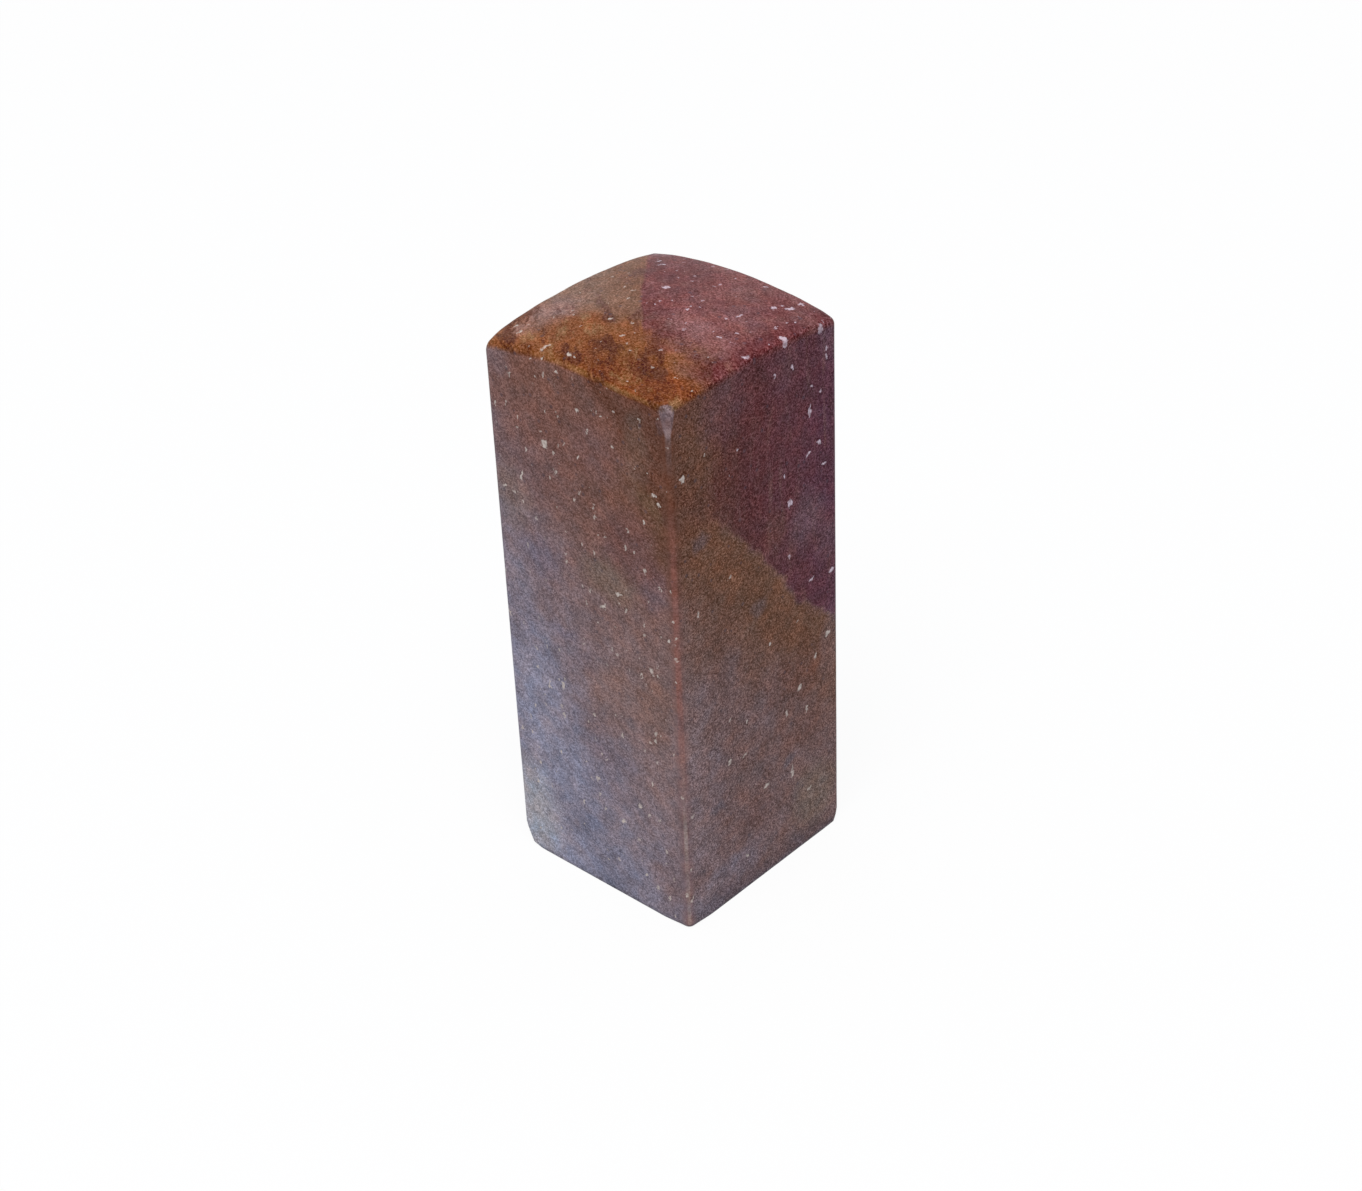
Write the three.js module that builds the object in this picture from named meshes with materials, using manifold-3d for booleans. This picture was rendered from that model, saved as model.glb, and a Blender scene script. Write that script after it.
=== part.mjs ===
// A stone seal stamp: one square column of carving stone with a crowned head
// and a fret carved in relief on its foot, which is the printing face.
// Millimetres, +Z up. The origin is the middle of the foot, which stands on z = 0.

import * as THREE from 'three';
import { mergeVertices } from 'three/addons/utils/BufferGeometryUtils.js';
import Module from 'manifold-3d';

// Driving dimensions of the column
const widthX = 24.7; // across the two sides that face along X
const widthY = 25.3; // across the two sides that face along Y
const cornerHeight = 62.85; // from the foot to the head's corners
const crownRiseX = 1.35; // how far the head rises from an X side to the middle
const crownRiseY = 1.1; // how far the head rises from a Y side to the middle
const uprightRadius = 0.8; // rounding of the four upright edges
const arrisRadius = 0.5; // rounding of the edge between head and sides

// Driving dimensions of the printing face
const border = 1.6; // raised frame round the printing face
const lineWidth = 1.05; // raised lines of the fret
const linesPerQuarter = 5; // lines that each square spiral crosses, each way
const reliefDepth = 0.8; // how deep the ground is cut below the lines

// How finely curves are divided
const uprightSegments = 4; // along each upright edge's quarter circle
const crownSegments = 14; // across the head, between the rounded arrises
const arrisSegments = 3; // across each rounded arris

const halfX = widthX / 2;
const halfY = widthY / 2;
const cutPast = 5; // how far a cutting solid runs past the stone

const wasm = await Module();
wasm.setup();

// Turns a closed three.js geometry into a solid that can be cut and joined.
function solidOf(geometry) {
  const bare = geometry.clone();
  bare.deleteAttribute('normal');
  bare.deleteAttribute('uv');
  const merged = mergeVertices(bare, 1e-5);
  return new wasm.Manifold(
    new wasm.Mesh({
      numProp: 3,
      vertProperties: new Float32Array(merged.attributes.position.array),
      triVerts: new Uint32Array(merged.index.array),
    })
  );
}

// Turns a solid back into a three.js geometry.
function geometryOf(solid) {
  const mesh = solid.getMesh();
  const geometry = new THREE.BufferGeometry();
  geometry.setAttribute('position', new THREE.BufferAttribute(mesh.vertProperties, 3));
  geometry.setIndex(new THREE.BufferAttribute(mesh.triVerts, 1));
  geometry.computeVertexNormals();
  return geometry;
}

// The outline of the column: a rectangle with a quarter circle at each corner.
function columnOutline() {
  const outline = new THREE.Shape();
  const x = halfX - uprightRadius;
  const y = halfY - uprightRadius;
  outline.absarc(x, y, uprightRadius, 0, Math.PI / 2);
  outline.absarc(-x, y, uprightRadius, Math.PI / 2, Math.PI);
  outline.absarc(-x, -y, uprightRadius, Math.PI, Math.PI * 1.5);
  outline.absarc(x, -y, uprightRadius, Math.PI * 1.5, Math.PI * 2);
  outline.closePath();
  return outline;
}

// How far a point of the plan lies inside the column's outline.
function depthInside(x, y) {
  const overX = Math.abs(x) - (halfX - uprightRadius);
  const overY = Math.abs(y) - (halfY - uprightRadius);
  const pastCorner = Math.hypot(Math.max(overX, 0), Math.max(overY, 0));
  return uprightRadius - pastCorner - Math.min(Math.max(overX, overY), 0);
}

// Height of the head's surface: a shallow crown whose edge rolls over into the sides.
function headHeight(x, y) {
  const crown =
    crownRiseX * (1 - (x / halfX) ** 2) +
    crownRiseY * (1 - (y / halfY) ** 2);
  const toArris = Math.max(arrisRadius - Math.max(depthInside(x, y), 0), 0);
  const roll = arrisRadius - Math.sqrt(arrisRadius ** 2 - toArris ** 2);
  return cornerHeight + crown - roll;
}

// Places across one width where the head is divided, closer together at the arrises.
function divisions(half) {
  const places = [-half];
  for (let i = 1; i <= arrisSegments; i++) {
    const angle = (i / arrisSegments) * (Math.PI / 2);
    places.push(-half + arrisRadius * (1 - Math.cos(angle)));
  }
  const flat = 2 * (half - arrisRadius);
  for (let i = 1; i < crownSegments; i++) {
    places.push(-half + arrisRadius + (flat * i) / crownSegments);
  }
  for (let i = arrisSegments; i >= 1; i--) {
    const angle = (i / arrisSegments) * (Math.PI / 2);
    places.push(half - arrisRadius * (1 - Math.cos(angle)));
  }
  places.push(half);
  return places;
}

// A block as wide as the column whose top is the crowned head.
function headBlock() {
  const placesX = divisions(halfX);
  const placesY = divisions(halfY);
  const countX = placesX.length - 1;
  const countY = placesY.length - 1;
  const block = new THREE.BoxGeometry(1, 1, 1, countX, countY, 1);
  const position = block.attributes.position;
  for (let i = 0; i < position.count; i++) {
    const x = placesX[Math.round((position.getX(i) + 0.5) * countX)];
    const y = placesY[Math.round((position.getY(i) + 0.5) * countY)];
    const z = position.getZ(i) > 0 ? headHeight(x, y) : -cutPast;
    position.setXYZ(i, x, y, z);
  }
  return solidOf(block);
}

// The column with its upright edges rounded and its foot flat at z = 0.
function column() {
  const tall = cornerHeight + crownRiseX + crownRiseY + cutPast;
  return solidOf(
    new THREE.ExtrudeGeometry(columnOutline(), {
      depth: tall,
      bevelEnabled: false,
      curveSegments: uprightSegments,
    })
  );
}

// A box on the printing face, from below the foot up to a height.
function faceBox(lowX, highX, lowY, highY, top) {
  const box = new THREE.BoxGeometry(highX - lowX, highY - lowY, top + cutPast);
  box.translate((lowX + highX) / 2, (lowY + highY) / 2, (top - cutPast) / 2);
  return solidOf(box);
}

// The turns of a square spiral on a lattice, from its outer corner to its eye.
function spiralTurns(count) {
  const turns = [[0, 0]];
  let low = 0;
  let high = count - 1;
  while (low < high) {
    turns.push([high, low], [high, high], [low, high], [low, low + 1]);
    low += 1;
    high -= 1;
  }
  if (low === high) {
    turns.push([high, low]);
  }
  return turns;
}

// The raised fret: a square spiral in each quarter, mirrored left to right and
// top to bottom, all four springing from one square boss in the middle.
function fret() {
  const fieldX = halfX - border;
  const fieldY = halfY - border;
  const grooveX = (fieldX - linesPerQuarter * lineWidth) / (linesPerQuarter + 0.5);
  const grooveY = (fieldY - linesPerQuarter * lineWidth) / (linesPerQuarter + 0.5);
  const lineX = (index) => grooveX / 2 + index * (lineWidth + grooveX);
  const lineY = (index) => grooveY / 2 + index * (lineWidth + grooveY);
  const bossX = grooveX / 2 + lineWidth;
  const bossY = grooveY / 2 + lineWidth;
  const top = reliefDepth + cutPast;
  const turns = spiralTurns(linesPerQuarter);
  let raised = faceBox(-bossX, bossX, -bossY, bossY, top);
  for (const [sideX, sideY] of [[1, 1], [-1, 1], [-1, -1], [1, -1]]) {
    for (let i = 1; i < turns.length; i++) {
      const [fromX, fromY] = turns[i - 1];
      const [toX, toY] = turns[i];
      const nearX = lineX(Math.min(fromX, toX));
      const farX = lineX(Math.max(fromX, toX)) + lineWidth;
      const nearY = lineY(Math.min(fromY, toY));
      const farY = lineY(Math.max(fromY, toY)) + lineWidth;
      const [lowX, highX] = sideX > 0 ? [nearX, farX] : [-farX, -nearX];
      const [lowY, highY] = sideY > 0 ? [nearY, farY] : [-farY, -nearY];
      raised = raised.add(faceBox(lowX, highX, lowY, highY, top));
    }
  }
  return raised;
}

// The ground that the graver clears away between the border and the fret.
function ground() {
  const fieldX = halfX - border;
  const fieldY = halfY - border;
  return faceBox(-fieldX, fieldX, -fieldY, fieldY, reliefDepth).subtract(fret());
}

// Seal stone: one bar of banded red-brown carving stone, ground and waxed.
function sealStone() {
  const stone = column().intersect(headBlock()).subtract(ground());
  const material = new THREE.MeshStandardMaterial({
    color: 0x6b4238,
    roughness: 0.5,
    metalness: 0,
  });
  const mesh = new THREE.Mesh(geometryOf(stone), material);
  mesh.name = 'seal_stone';
  return mesh;
}

const seal = new THREE.Group();
seal.name = 'seal_stamp';
seal.add(sealStone());

export default seal;
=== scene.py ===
# A stone seal stamp, dressed for a studio picture: a square column of mottled red-brown
# carving stone, ground, waxed and handled, with a fret carved on its printing face.
# Lengths are metres, written as so many mm. The foot stands on z = 0, with +Z up.

from math import cos, hypot, radians, sin

import bpy
from mathutils import Euler, Matrix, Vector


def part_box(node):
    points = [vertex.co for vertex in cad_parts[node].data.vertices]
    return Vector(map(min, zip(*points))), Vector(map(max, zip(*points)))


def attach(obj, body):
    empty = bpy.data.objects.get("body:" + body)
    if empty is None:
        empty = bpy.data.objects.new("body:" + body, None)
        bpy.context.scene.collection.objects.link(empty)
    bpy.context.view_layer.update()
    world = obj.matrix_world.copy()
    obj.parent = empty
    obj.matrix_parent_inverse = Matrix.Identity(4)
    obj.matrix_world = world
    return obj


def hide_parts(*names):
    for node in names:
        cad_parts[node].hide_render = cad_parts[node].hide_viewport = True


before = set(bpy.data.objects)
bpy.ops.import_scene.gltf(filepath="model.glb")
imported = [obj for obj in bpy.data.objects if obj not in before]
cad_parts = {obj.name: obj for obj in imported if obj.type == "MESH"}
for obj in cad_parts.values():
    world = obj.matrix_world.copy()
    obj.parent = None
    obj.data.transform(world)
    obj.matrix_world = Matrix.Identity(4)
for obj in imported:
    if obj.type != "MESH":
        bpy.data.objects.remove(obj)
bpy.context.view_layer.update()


# Seal stone
# One bar of soft carving stone, sawn square, its four sides lapped flat on a wet plate
# and its head ground to a shallow crown. The same block carries the carved printing face.

mm = 0.001
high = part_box("seal_stone")[1]
half_x = high.x
half_y = high.y

SIZES = {
    "Half width X": half_x,
    "Half width Y": half_y,
    "Crown height": high.z,
    "Crown rise X": 1.35 * mm,
    "Crown rise Y": 1.1 * mm,
    "Front lift": 0.65 * mm,
    "Front lift reach": 7.5 * mm,
    "Upright radius": 0.75 * mm,
    "Arris radius": 0.35 * mm,
    "Foot radius": 0.08 * mm,
    "Lapping error": 0.06 * mm,
    "Border": 1.6 * mm,
    "Line width": 1.05 * mm,
    "Relief depth": 0.8 * mm,
}
LINES_PER_QUARTER = 5
LINE_WAVER = 0.08 * mm
GRAVER_DEPTH = 0.25 * mm
CRISP_ANGLE = radians(40)

# Knocks and rubbing: where in the plan, in parts of the half widths, how much rounder the
# foot and the head have become there, and how far along the edges that reaches.
WEAR = [
    (1, -1, 0.5 * mm, 0.1 * mm, 4.0 * mm),
    (-1, -1, 0.9 * mm, 0.8 * mm, 3.0 * mm),
    (1, 1, 0.05 * mm, 0.25 * mm, 3.0 * mm),
    (-1, 1, 0.6 * mm, 0.5 * mm, 3.5 * mm),
    (-0.3, -1, 0.0, 0.8 * mm, 9.0 * mm),
]

# Small flats left where a corner was chipped and lapped over: the direction that each
# faces, and how far it lies from the middle of the foot in that direction.
FLATS = [
    ((0.70, -0.70, 0.15), 26.31 * mm),
    ((-0.68, -0.68, -0.28), 15.95 * mm),
    ((0.68, 0.68, -0.28), 16.26 * mm),
]


class Field:
    """A socket of a node tree. Arithmetic on fields adds Math nodes to the tree."""

    def __init__(self, tree, socket=None):
        self.tree = tree
        self.socket = socket

    def node(self, kind, settings=None, inputs=None, output=None):
        """Adds a node: its settings first, then its sockets' values or links."""
        node = self.tree.nodes.new(kind)
        for name, value in (settings or {}).items():
            setattr(node, name, value)
        for key, value in (inputs or {}).items():
            if isinstance(key, int):
                socket = node.inputs[key]
            else:
                socket = next(s for s in node.inputs if s.enabled and s.name == key)
            for one in value if isinstance(value, list) else [value]:
                if isinstance(one, Field):
                    self.tree.links.new(one.socket, socket)
                else:
                    socket.default_value = one
        shown = [s for s in node.outputs if s.enabled and output in (None, s.name)]
        return Field(self.tree, shown[0] if shown else None)

    def other(self, output):
        """Another output of the node that this field comes from."""
        return Field(self.tree, self.socket.node.outputs[output])

    def math(self, operation, *values):
        inputs = dict(enumerate([self, *values]))
        return self.node("ShaderNodeMath", {"operation": operation}, inputs)

    def __add__(self, value):
        return self.math("ADD", value)

    def __sub__(self, value):
        return self.math("SUBTRACT", value)

    def __rsub__(self, value):
        flipped = {0: value, 1: self}
        return self.node("ShaderNodeMath", {"operation": "SUBTRACT"}, flipped)

    def __mul__(self, value):
        return self.math("MULTIPLY", value)

    def __truediv__(self, value):
        return self.math("DIVIDE", value)

    def __pow__(self, value):
        return self.math("POWER", value)

    def __neg__(self):
        return self.math("MULTIPLY", -1.0)

    def __abs__(self):
        return self.math("ABSOLUTE")

    __radd__ = __add__
    __rmul__ = __mul__

    def at_least(self, value):
        return self.math("MAXIMUM", value)

    def at_most(self, value):
        return self.math("MINIMUM", value)

    def ramp(self, start, end, low=0.0, high=1.0):
        """Rises smoothly from low to high as the field goes from start to end."""
        settings = {"interpolation_type": "SMOOTHSTEP"}
        inputs = {
            "Value": self,
            "From Min": start,
            "From Max": end,
            "To Min": low,
            "To Max": high,
        }
        return self.node("ShaderNodeMapRange", settings, inputs)

    def mixed(self, first, second, share):
        """A colour part of the way from the first to the second."""
        inputs = {"Factor": share, "A": first, "B": second}
        return self.node("ShaderNodeMix", {"data_type": "RGBA"}, inputs, "Result")

    def plus(self, vector):
        return self.node("ShaderNodeVectorMath", {"operation": "ADD"}, {0: self, 1: vector})

    def times(self, vector):
        inputs = {0: self, 1: vector}
        return self.node("ShaderNodeVectorMath", {"operation": "MULTIPLY"}, inputs)

    def scaled(self, value):
        inputs = {"Vector": self, "Scale": value}
        return self.node("ShaderNodeVectorMath", {"operation": "SCALE"}, inputs)

    def stretched(self, factors, shift):
        """The vector with each part multiplied and the shift then added."""
        inputs = {0: self, 1: factors, 2: shift}
        return self.node("ShaderNodeVectorMath", {"operation": "MULTIPLY_ADD"}, inputs)

    def length(self):
        inputs = {0: self}
        return self.node("ShaderNodeVectorMath", {"operation": "LENGTH"}, inputs, "Value")

    def parts(self):
        """The X, Y and Z of a vector field."""
        x = self.node("ShaderNodeSeparateXYZ", {}, {"Vector": self}, "X")
        return x, x.other("Y"), x.other("Z")

    def vector(self, x, y, z):
        return self.node("ShaderNodeCombineXYZ", {}, {"X": x, "Y": y, "Z": z})


form = bpy.data.node_groups.new("Seal stone form", "GeometryNodeTree")
form.interface.new_socket("Fret path", in_out="INPUT", socket_type="NodeSocketGeometry")
for name in SIZES:
    form.interface.new_socket(name, in_out="INPUT", socket_type="NodeSocketFloat")
form.interface.new_socket("Stone", in_out="INPUT", socket_type="NodeSocketMaterial")
form.interface.new_socket("Geometry", in_out="OUTPUT", socket_type="NodeSocketGeometry")
given = form.nodes.new("NodeGroupInput")
start = Field(form)


def size(name):
    return Field(form, given.outputs[name])


def noise(field, scale, detail=2.0, seed=0.0, rough=0.5):
    """A cloudy field from about -0.5 to 0.5, whose clouds are about 1 / scale across."""
    inputs = {
        "Vector": field,
        "W": seed,
        "Scale": scale,
        "Detail": detail,
        "Roughness": rough,
    }
    cloud = field.node("ShaderNodeTexNoise", {"noise_dimensions": "4D"}, inputs)
    return cloud - 0.5


# The column starts as a unit cube whose points are crowded towards the edges, where the
# roundings need them, and each point is then carried to its place on the stone.
cube = start.node(
    "GeometryNodeMeshCube",
    {},
    {"Size": (1, 1, 1), "Vertices X": 61, "Vertices Y": 61, "Vertices Z": 141},
    "Mesh",
)
across, along, up = start.node("GeometryNodeInputPosition").parts()
square_x = (across * radians(180)).math("SINE") * size("Half width X")
square_y = (along * radians(180)).math("SINE") * size("Half width Y")

# How far each point of the plan lies inside the sides.
inside = (size("Half width X") - abs(square_x)).at_most(
    size("Half width Y") - abs(square_y)
)

# The square plan's corners are drawn in to quarter circles.
inner_x = size("Half width X") - size("Upright radius")
inner_y = size("Half width Y") - size("Upright radius")
core_x = square_x.at_most(inner_x).at_least(-inner_x)
core_y = square_y.at_most(inner_y).at_least(-inner_y)
out_x = square_x - core_x
out_y = square_y - core_y
reach = (out_x ** 2.0 + out_y ** 2.0).math("SQRT").at_least(1e-9)
draw_in = abs(out_x).at_least(abs(out_y)) / reach
plan_x = core_x + out_x * draw_in
plan_y = core_y + out_y * draw_in
plan = start.vector(plan_x, plan_y, 0.0)

# Each edge's rounding grows towards the worn corners and wavers a little between them.
foot_radius = size("Foot radius") * (1.0 + 1.2 * noise(plan, 300.0, seed=1.0))
head_radius = size("Arris radius") * (1.0 + 1.4 * noise(plan, 350.0, seed=2.0))
for side_x, side_y, foot_wear, head_wear, wear_reach in WEAR:
    off_x = plan_x - side_x * half_x
    off_y = plan_y - side_y * half_y
    away = (off_x ** 2.0 + off_y ** 2.0).math("SQRT")
    worn = away.ramp(wear_reach, 0.0)
    foot_radius = foot_radius + worn * foot_wear
    head_radius = head_radius + worn * head_wear


def roll(radius):
    """How far an edge's rounding draws the surface back, by the distance inside."""
    short = (radius - inside).at_least(0.0)
    return radius - (radius ** 2.0 - short ** 2.0).at_least(0.0).math("SQRT")


# The crown falls away to the sides, a little less towards the front corner.
off_x = plan_x - half_x
off_y = plan_y + half_y
from_front = (off_x ** 2.0 + off_y ** 2.0).math("SQRT")
crown = (
    size("Crown height")
    + size("Front lift") * from_front.ramp(size("Front lift reach"), 0.0)
    - size("Crown rise X") * (plan_x / size("Half width X")) ** 2.0
    - size("Crown rise Y") * (plan_y / size("Half width Y")) ** 2.0
)
head_z = crown - roll(head_radius)
foot_z = roll(foot_radius)
stone_z = foot_z + (head_z - foot_z) * (up + 0.5)
column = start.node(
    "GeometryNodeSetPosition",
    {},
    {"Geometry": cube, "Position": start.vector(plan_x, plan_y, stone_z)},
)

# Chipped corners are lapped back to small flats.
for facing, distance in FLATS:
    length = hypot(*facing)
    normal = tuple(part / length for part in facing)
    position = start.node("GeometryNodeInputPosition")
    over = position.node(
        "ShaderNodeVectorMath", {"operation": "DOT_PRODUCT"}, {0: position, 1: normal}
    )
    over = (over - distance).at_least(0.0)
    back = start.vector(*(over * -part for part in normal))
    column = start.node(
        "GeometryNodeSetPosition", {}, {"Geometry": column, "Offset": back}
    )

# Lapping by hand leaves the sides and the head very slightly uneven, but not the foot.
position = start.node("GeometryNodeInputPosition")
height = position.parts()[2]
uneven = noise(position, 90.0, 1.0, 3.0) * size("Lapping error")
uneven = uneven * height.ramp(0.5 * mm, 4.0 * mm)
outward = start.node("GeometryNodeInputNormal", {}, {}, "Normal")
column = start.node(
    "GeometryNodeSetPosition", {}, {"Geometry": column, "Offset": outward.scaled(uneven)}
)

# The fret's lines stand at the height of the foot. One quarter's path is mirrored to the
# other three, and every run of it becomes one raised line, a little uneven in its width.
# A square boss stands in the middle, where the four quarters meet.
quarters = []
for side_x, side_y in ((1, 1), (-1, 1), (-1, -1), (1, -1)):
    quarter = start.node(
        "GeometryNodeTransform",
        {},
        {"Geometry": size("Fret path"), "Scale": (side_x, side_y, 1)},
    )
    quarters.append(quarter)
path = start.node("GeometryNodeJoinGeometry", {}, {"Geometry": quarters})
ends = start.node("GeometryNodeInputMeshEdgeVertices", {}, {}, "Position 1")
run = ends.node(
    "ShaderNodeVectorMath",
    {"operation": "SUBTRACT"},
    {0: ends, 1: ends.other("Position 2")},
)
run_x, run_y, _ = run.parts()
captured = start.tree.nodes.new("GeometryNodeCaptureAttribute")
captured.domain = "EDGE"
captured.capture_items.new("VECTOR", "Run")
form.links.new(path.socket, captured.inputs["Geometry"])
form.links.new(start.vector(abs(run_x), abs(run_y), 0.0).socket, captured.inputs[1])
runs = start.node(
    "GeometryNodeMeshToPoints",
    {"mode": "EDGES"},
    {"Mesh": Field(form, captured.outputs["Geometry"])},
)
hand = start.node(
    "FunctionNodeRandomValue",
    {"data_type": "FLOAT"},
    {"Min": -LINE_WAVER, "Max": LINE_WAVER, "Seed": 7},
)
long_x, long_y, _ = Field(form, captured.outputs[1]).parts()
width = size("Line width") + hand
depth = 4.0 * size("Relief depth")
lines = start.node(
    "GeometryNodeInstanceOnPoints",
    {},
    {
        "Points": runs,
        "Instance": start.node("GeometryNodeMeshCube", {}, {"Size": (1, 1, 1)}, "Mesh"),
        "Scale": start.vector(long_x + width, long_y + width, depth),
    },
)
groove = {}
for axis in "XY":
    field_half = size(f"Half width {axis}") - size("Border")
    spare = field_half - size("Line width") * float(LINES_PER_QUARTER)
    groove[axis] = spare / (LINES_PER_QUARTER + 0.5)
boss = start.node(
    "GeometryNodeMeshCube",
    {},
    {
        "Size": start.vector(
            groove["X"] + size("Line width") * 2.0,
            groove["Y"] + size("Line width") * 2.0,
            depth,
        )
    },
    "Mesh",
)
fret = start.node("GeometryNodeJoinGeometry", {}, {"Geometry": [lines, boss]})
fret = start.node("GeometryNodeRealizeInstances", {}, {"Geometry": fret})

# The ground between border and fret is cut away with a flat graver, so its floor wavers.
ground = start.node(
    "GeometryNodeMeshCube",
    {},
    {
        "Size": start.vector(
            (size("Half width X") - size("Border")) * 2.0,
            (size("Half width Y") - size("Border")) * 2.0,
            size("Relief depth") * 2.0,
        ),
        "Vertices X": 49,
        "Vertices Y": 49,
        "Vertices Z": 2,
    },
    "Mesh",
)
position = start.node("GeometryNodeInputPosition")
graver = noise(position, 700.0, 2.0, 4.0) * GRAVER_DEPTH
ground = start.node(
    "GeometryNodeSetPosition",
    {},
    {"Geometry": ground, "Offset": start.vector(0.0, 0.0, graver)},
)
ground = start.node("GeometryNodeTriangulate", {}, {"Mesh": ground})
cut = {"solver": "EXACT", "operation": "DIFFERENCE"}
ground = start.node(
    "GeometryNodeMeshBoolean",
    cut,
    {"Mesh 1": ground, "Mesh 2": fret, "Self Intersection": True},
    "Mesh",
)
carved = start.node(
    "GeometryNodeMeshBoolean", cut, {"Mesh 1": column, "Mesh 2": ground}, "Mesh"
)

# The lapped faces and their roundings look smooth, and the carved edges stay crisp.
smooth = start.node(
    "GeometryNodeSetShadeSmooth",
    {"domain": "FACE"},
    {"Geometry": carved, "Shade Smooth": True},
)
bend = start.node("GeometryNodeInputMeshEdgeAngle", {}, {}, "Unsigned Angle")
smooth = start.node(
    "GeometryNodeSetShadeSmooth",
    {"domain": "EDGE"},
    {
        "Geometry": smooth,
        "Selection": bend.math("GREATER_THAN", CRISP_ANGLE),
        "Shade Smooth": False,
    },
)
whole = start.node("GeometryNodeRealizeInstances", {}, {"Geometry": smooth})
whole = start.node(
    "GeometryNodeSetMaterial", {}, {"Geometry": whole, "Material": size("Stone")}
)
result = form.nodes.new("NodeGroupOutput")
form.links.new(whole.socket, result.inputs["Geometry"])


def spiral_turns(count):
    """The turns of a square spiral on a lattice, from its outer corner to its eye."""
    turns = [(0, 0)]
    near = 0
    far = count - 1
    while near < far:
        turns += [(far, near), (far, far), (near, far), (near, near + 1)]
        near += 1
        far -= 1
    if near == far:
        turns.append((far, near))
    return turns


def fret_path():
    """The middle lines of one quarter of the fret, as a chain of edges on the foot."""
    places = []
    for half in (half_x, half_y):
        line = SIZES["Line width"]
        field_half = half - SIZES["Border"]
        gap = (field_half - LINES_PER_QUARTER * line) / (LINES_PER_QUARTER + 0.5)
        places.append(
            [(gap + line) / 2 + i * (line + gap) for i in range(LINES_PER_QUARTER)]
        )
    turns = spiral_turns(LINES_PER_QUARTER)
    points = [(places[0][x], places[1][y], 0.0) for x, y in turns]
    mesh = bpy.data.meshes.new("fret_path")
    mesh.from_pydata(points, [(i, i + 1) for i in range(len(points) - 1)], [])
    return mesh


# Colours of the stone
# Iron stains the stone red, brown and ochre, and clay clouds it grey, lavender and plum.
# Each colour is what a painter would mix, in steps from 0 to 255: most for the stone
# itself, a few for the painted highlights, reflections and contact shadow laid on it below.


def paint(red, green, blue):
    steps = (red / 255, green / 255, blue / 255)
    return (*(((step + 0.055) / 1.055) ** 2.4 for step in steps), 1.0)


RED_BROWN = paint(129, 90, 79)
DUSK = paint(142, 116, 114)
MAUVE = paint(127, 99, 96)
TERRACOTTA = paint(141, 96, 82)
CLAY = paint(150, 110, 91)
UMBER = paint(136, 101, 88)
RUSSET = paint(118, 80, 69)
EARTH = paint(116, 78, 57)
DARK_BROWN = paint(109, 67, 51)
MOSS = paint(114, 91, 70)
GREEN_GREY = paint(127, 110, 95)
OLIVE = paint(121, 82, 62)
OLIVE_GREY = paint(133, 113, 99)
PALE_OLIVE = paint(131, 98, 81)
PLUM_RIM = paint(98, 49, 49)
PLUM = paint(101, 54, 62)
PLUM_HEART = paint(96, 53, 70)
RED_PLUM = paint(104, 50, 51)
WINE = paint(112, 58, 58)
MADDER = paint(129, 77, 75)
MULBERRY = paint(123, 86, 86)
DUSTY_PLUM = paint(120, 87, 95)
ROSE = paint(124, 87, 83)
LAVENDER = paint(155, 148, 164)
PALE_LAVENDER = paint(165, 161, 180)
BLUE_GREY = paint(134, 131, 149)
SMOKE = paint(122, 111, 126)
SLATE = paint(100, 95, 106)
ASH = paint(143, 121, 125)
PEARL = paint(182, 180, 188)
OCHRE = paint(133, 78, 42)
BURNT_OCHRE = paint(119, 59, 20)
HONEY = paint(140, 94, 56)
PINK = paint(145, 112, 105)
BLUSH = paint(147, 99, 96)
OXBLOOD = paint(103, 46, 48)
RUST = paint(158, 101, 90)
BRICK = paint(150, 88, 66)
CREAM = paint(222, 208, 198)
MILK = paint(234, 214, 226)
DARK_WINE = paint(86, 42, 48)
BURNT_BROWN = paint(90, 44, 18)
DUSTY_ROSE = paint(136, 100, 97)
TAN = paint(146, 108, 72)
INK = paint(70, 66, 80)
BARE = paint(160, 134, 124)
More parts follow.
